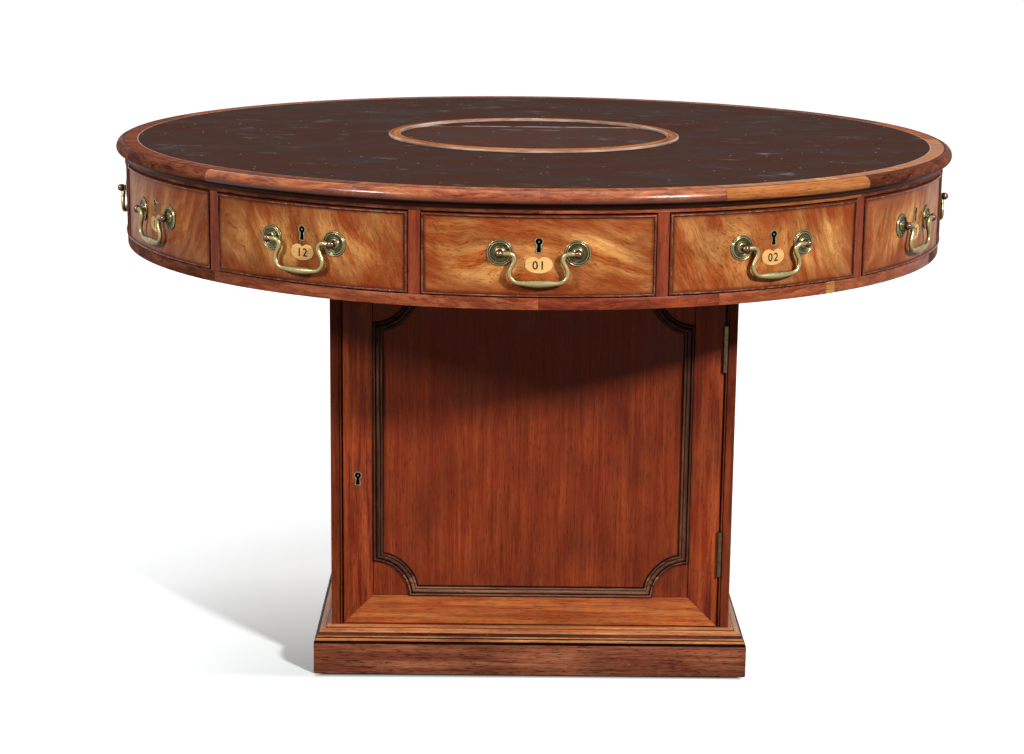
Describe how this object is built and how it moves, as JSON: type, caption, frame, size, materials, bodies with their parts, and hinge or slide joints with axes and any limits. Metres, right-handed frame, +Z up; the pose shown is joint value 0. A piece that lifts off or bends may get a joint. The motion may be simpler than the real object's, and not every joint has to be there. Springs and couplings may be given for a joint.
{
  "type": "rent table",
  "caption": "Round revolving drum-top table with wedge drawers round the frieze, a lidded well in the leather top, and a square cupboard pedestal with a panelled door.",
  "frame": {"origin": "centre of the footprint, on the floor", "axes": "+Z up along the drum's turning axis, -Y to the front, where the cupboard door is"},
  "size_m": [1.27, 1.27, 0.767],
  "materials": {
    "mahogany": "french polished mahogany",
    "drawer_wood": "figured mahogany fronts with oak linings",
    "brass": "aged brass",
    "iron": "dark iron",
    "leather": "worn dark leather"
  },
  "bodies": {
    "pedestal": {"plinth_base": "mahogany", "plinth_moulding": "mahogany", "carcase_sides": "mahogany", "carcase_back": "mahogany", "carcase_boards": "mahogany", "turning_pivot": "iron", "side_hinge_leaves": "brass"},
    "cupboard_door": {"door_frame": "mahogany", "door_panel": "mahogany", "door_moulding": "mahogany", "door_lock": "brass", "door_hinge_leaves": "brass"},
    "drum": {"drum_base": "mahogany", "drum_dividers": "mahogany", "drum_top_rail": "mahogany", "top_board": "mahogany", "top_edge_moulding": "mahogany", "top_banding": "mahogany", "top_leather": "leather", "well_rim": "mahogany", "well_box": "mahogany"},
    "well_lid": {"lid_board": "mahogany", "lid_leather": "leather", "lid_pins": "brass"},
    "drawer_box_01": {"drawer_01": "drawer_wood", "drawer_01_fittings": "brass"},
    "bail_01": {"drawer_01_handle": "brass"},
    "drawer_box_02": {"drawer_02": "drawer_wood", "drawer_02_fittings": "brass"},
    "bail_02": {"drawer_02_handle": "brass"},
    "drawer_box_03": {"drawer_03": "drawer_wood", "drawer_03_fittings": "brass"},
    "bail_03": {"drawer_03_handle": "brass"},
    "drawer_box_04": {"drawer_04": "drawer_wood", "drawer_04_fittings": "brass"},
    "bail_04": {"drawer_04_handle": "brass"},
    "drawer_box_05": {"drawer_05": "drawer_wood", "drawer_05_fittings": "brass"},
    "bail_05": {"drawer_05_handle": "brass"},
    "drawer_box_06": {"drawer_06": "drawer_wood", "drawer_06_fittings": "brass"},
    "bail_06": {"drawer_06_handle": "brass"},
    "drawer_box_07": {"drawer_07": "drawer_wood", "drawer_07_fittings": "brass"},
    "bail_07": {"drawer_07_handle": "brass"},
    "drawer_box_08": {"drawer_08": "drawer_wood", "drawer_08_fittings": "brass"},
    "bail_08": {"drawer_08_handle": "brass"},
    "drawer_box_09": {"drawer_09": "drawer_wood", "drawer_09_fittings": "brass"},
    "bail_09": {"drawer_09_handle": "brass"},
    "drawer_box_10": {"drawer_10": "drawer_wood", "drawer_10_fittings": "brass"},
    "bail_10": {"drawer_10_handle": "brass"},
    "drawer_box_11": {"drawer_11": "drawer_wood", "drawer_11_fittings": "brass"},
    "bail_11": {"drawer_11_handle": "brass"},
    "drawer_box_12": {"drawer_12": "drawer_wood", "drawer_12_fittings": "brass"},
    "bail_12": {"drawer_12_handle": "brass"}
  },
  "joints": [
    {"name": "drum_turn", "type": "hinge", "parent": "pedestal", "child": "drum", "pos_m": [0, 0, 0.6155], "axis": [0, 0, 1], "continuous": true},
    {"name": "door_swing", "type": "hinge", "parent": "pedestal", "child": "cupboard_door", "pos_m": [0.27675, -0.2975, 0.337], "axis": [0, 0, 1], "range_deg": [0, 170]},
    {"name": "lid_lift", "type": "hinge", "parent": "drum", "child": "well_lid", "pos_m": [0, 0.115, 0.757], "axis": [-1, 0, 0], "range_deg": [0, 90]},
    {"name": "drawer_slide_01", "type": "slide", "parent": "drum", "child": "drawer_box_01", "axis": [0, -1, 0], "range_m": [0, 0.26]},
    {"name": "bail_swing_01", "type": "hinge", "parent": "drawer_box_01", "child": "bail_01", "pos_m": [0, -0.62945, 0.6823], "axis": [-1, 0, 0], "range_deg": [0, 170]},
    {"name": "drawer_slide_02", "type": "slide", "parent": "drum", "child": "drawer_box_02", "axis": [0.5, -0.866, 0], "range_m": [0, 0.26]},
    {"name": "bail_swing_02", "type": "hinge", "parent": "drawer_box_02", "child": "bail_02", "pos_m": [0.31472, -0.54512, 0.6823], "axis": [-0.866, -0.5, 0], "range_deg": [0, 170]},
    {"name": "drawer_slide_03", "type": "slide", "parent": "drum", "child": "drawer_box_03", "axis": [0.866, -0.5, 0], "range_m": [0, 0.26]},
    {"name": "bail_swing_03", "type": "hinge", "parent": "drawer_box_03", "child": "bail_03", "pos_m": [0.54512, -0.31472, 0.6823], "axis": [-0.5, -0.866, 0], "range_deg": [0, 170]},
    {"name": "drawer_slide_04", "type": "slide", "parent": "drum", "child": "drawer_box_04", "axis": [1, 0, 0], "range_m": [0, 0.26]},
    {"name": "bail_swing_04", "type": "hinge", "parent": "drawer_box_04", "child": "bail_04", "pos_m": [0.62945, 0, 0.6823], "axis": [0, -1, 0], "range_deg": [0, 170]},
    {"name": "drawer_slide_05", "type": "slide", "parent": "drum", "child": "drawer_box_05", "axis": [0.866, 0.5, 0], "range_m": [0, 0.26]},
    {"name": "bail_swing_05", "type": "hinge", "parent": "drawer_box_05", "child": "bail_05", "pos_m": [0.54512, 0.31472, 0.6823], "axis": [0.5, -0.866, 0], "range_deg": [0, 170]},
    {"name": "drawer_slide_06", "type": "slide", "parent": "drum", "child": "drawer_box_06", "axis": [0.5, 0.866, 0], "range_m": [0, 0.26]},
    {"name": "bail_swing_06", "type": "hinge", "parent": "drawer_box_06", "child": "bail_06", "pos_m": [0.31472, 0.54512, 0.6823], "axis": [0.866, -0.5, 0], "range_deg": [0, 170]},
    {"name": "drawer_slide_07", "type": "slide", "parent": "drum", "child": "drawer_box_07", "axis": [0, 1, 0], "range_m": [0, 0.26]},
    {"name": "bail_swing_07", "type": "hinge", "parent": "drawer_box_07", "child": "bail_07", "pos_m": [0, 0.62945, 0.6823], "axis": [1, 0, 0], "range_deg": [0, 170]},
    {"name": "drawer_slide_08", "type": "slide", "parent": "drum", "child": "drawer_box_08", "axis": [-0.5, 0.866, 0], "range_m": [0, 0.26]},
    {"name": "bail_swing_08", "type": "hinge", "parent": "drawer_box_08", "child": "bail_08", "pos_m": [-0.31472, 0.54512, 0.6823], "axis": [0.866, 0.5, 0], "range_deg": [0, 170]},
    {"name": "drawer_slide_09", "type": "slide", "parent": "drum", "child": "drawer_box_09", "axis": [-0.866, 0.5, 0], "range_m": [0, 0.26]},
    {"name": "bail_swing_09", "type": "hinge", "parent": "drawer_box_09", "child": "bail_09", "pos_m": [-0.54512, 0.31472, 0.6823], "axis": [0.5, 0.866, 0], "range_deg": [0, 170]},
    {"name": "drawer_slide_10", "type": "slide", "parent": "drum", "child": "drawer_box_10", "axis": [-1, 0, 0], "range_m": [0, 0.26]},
    {"name": "bail_swing_10", "type": "hinge", "parent": "drawer_box_10", "child": "bail_10", "pos_m": [-0.62945, 0, 0.6823], "axis": [0, 1, 0], "range_deg": [0, 170]},
    {"name": "drawer_slide_11", "type": "slide", "parent": "drum", "child": "drawer_box_11", "axis": [-0.866, -0.5, 0], "range_m": [0, 0.26]},
    {"name": "bail_swing_11", "type": "hinge", "parent": "drawer_box_11", "child": "bail_11", "pos_m": [-0.54512, -0.31472, 0.6823], "axis": [-0.5, 0.866, 0], "range_deg": [0, 170]},
    {"name": "drawer_slide_12", "type": "slide", "parent": "drum", "child": "drawer_box_12", "axis": [-0.5, -0.866, 0], "range_m": [0, 0.26]},
    {"name": "bail_swing_12", "type": "hinge", "parent": "drawer_box_12", "child": "bail_12", "pos_m": [-0.31472, -0.54512, 0.6823], "axis": [-0.866, 0.5, 0], "range_deg": [0, 170]}
  ]
}
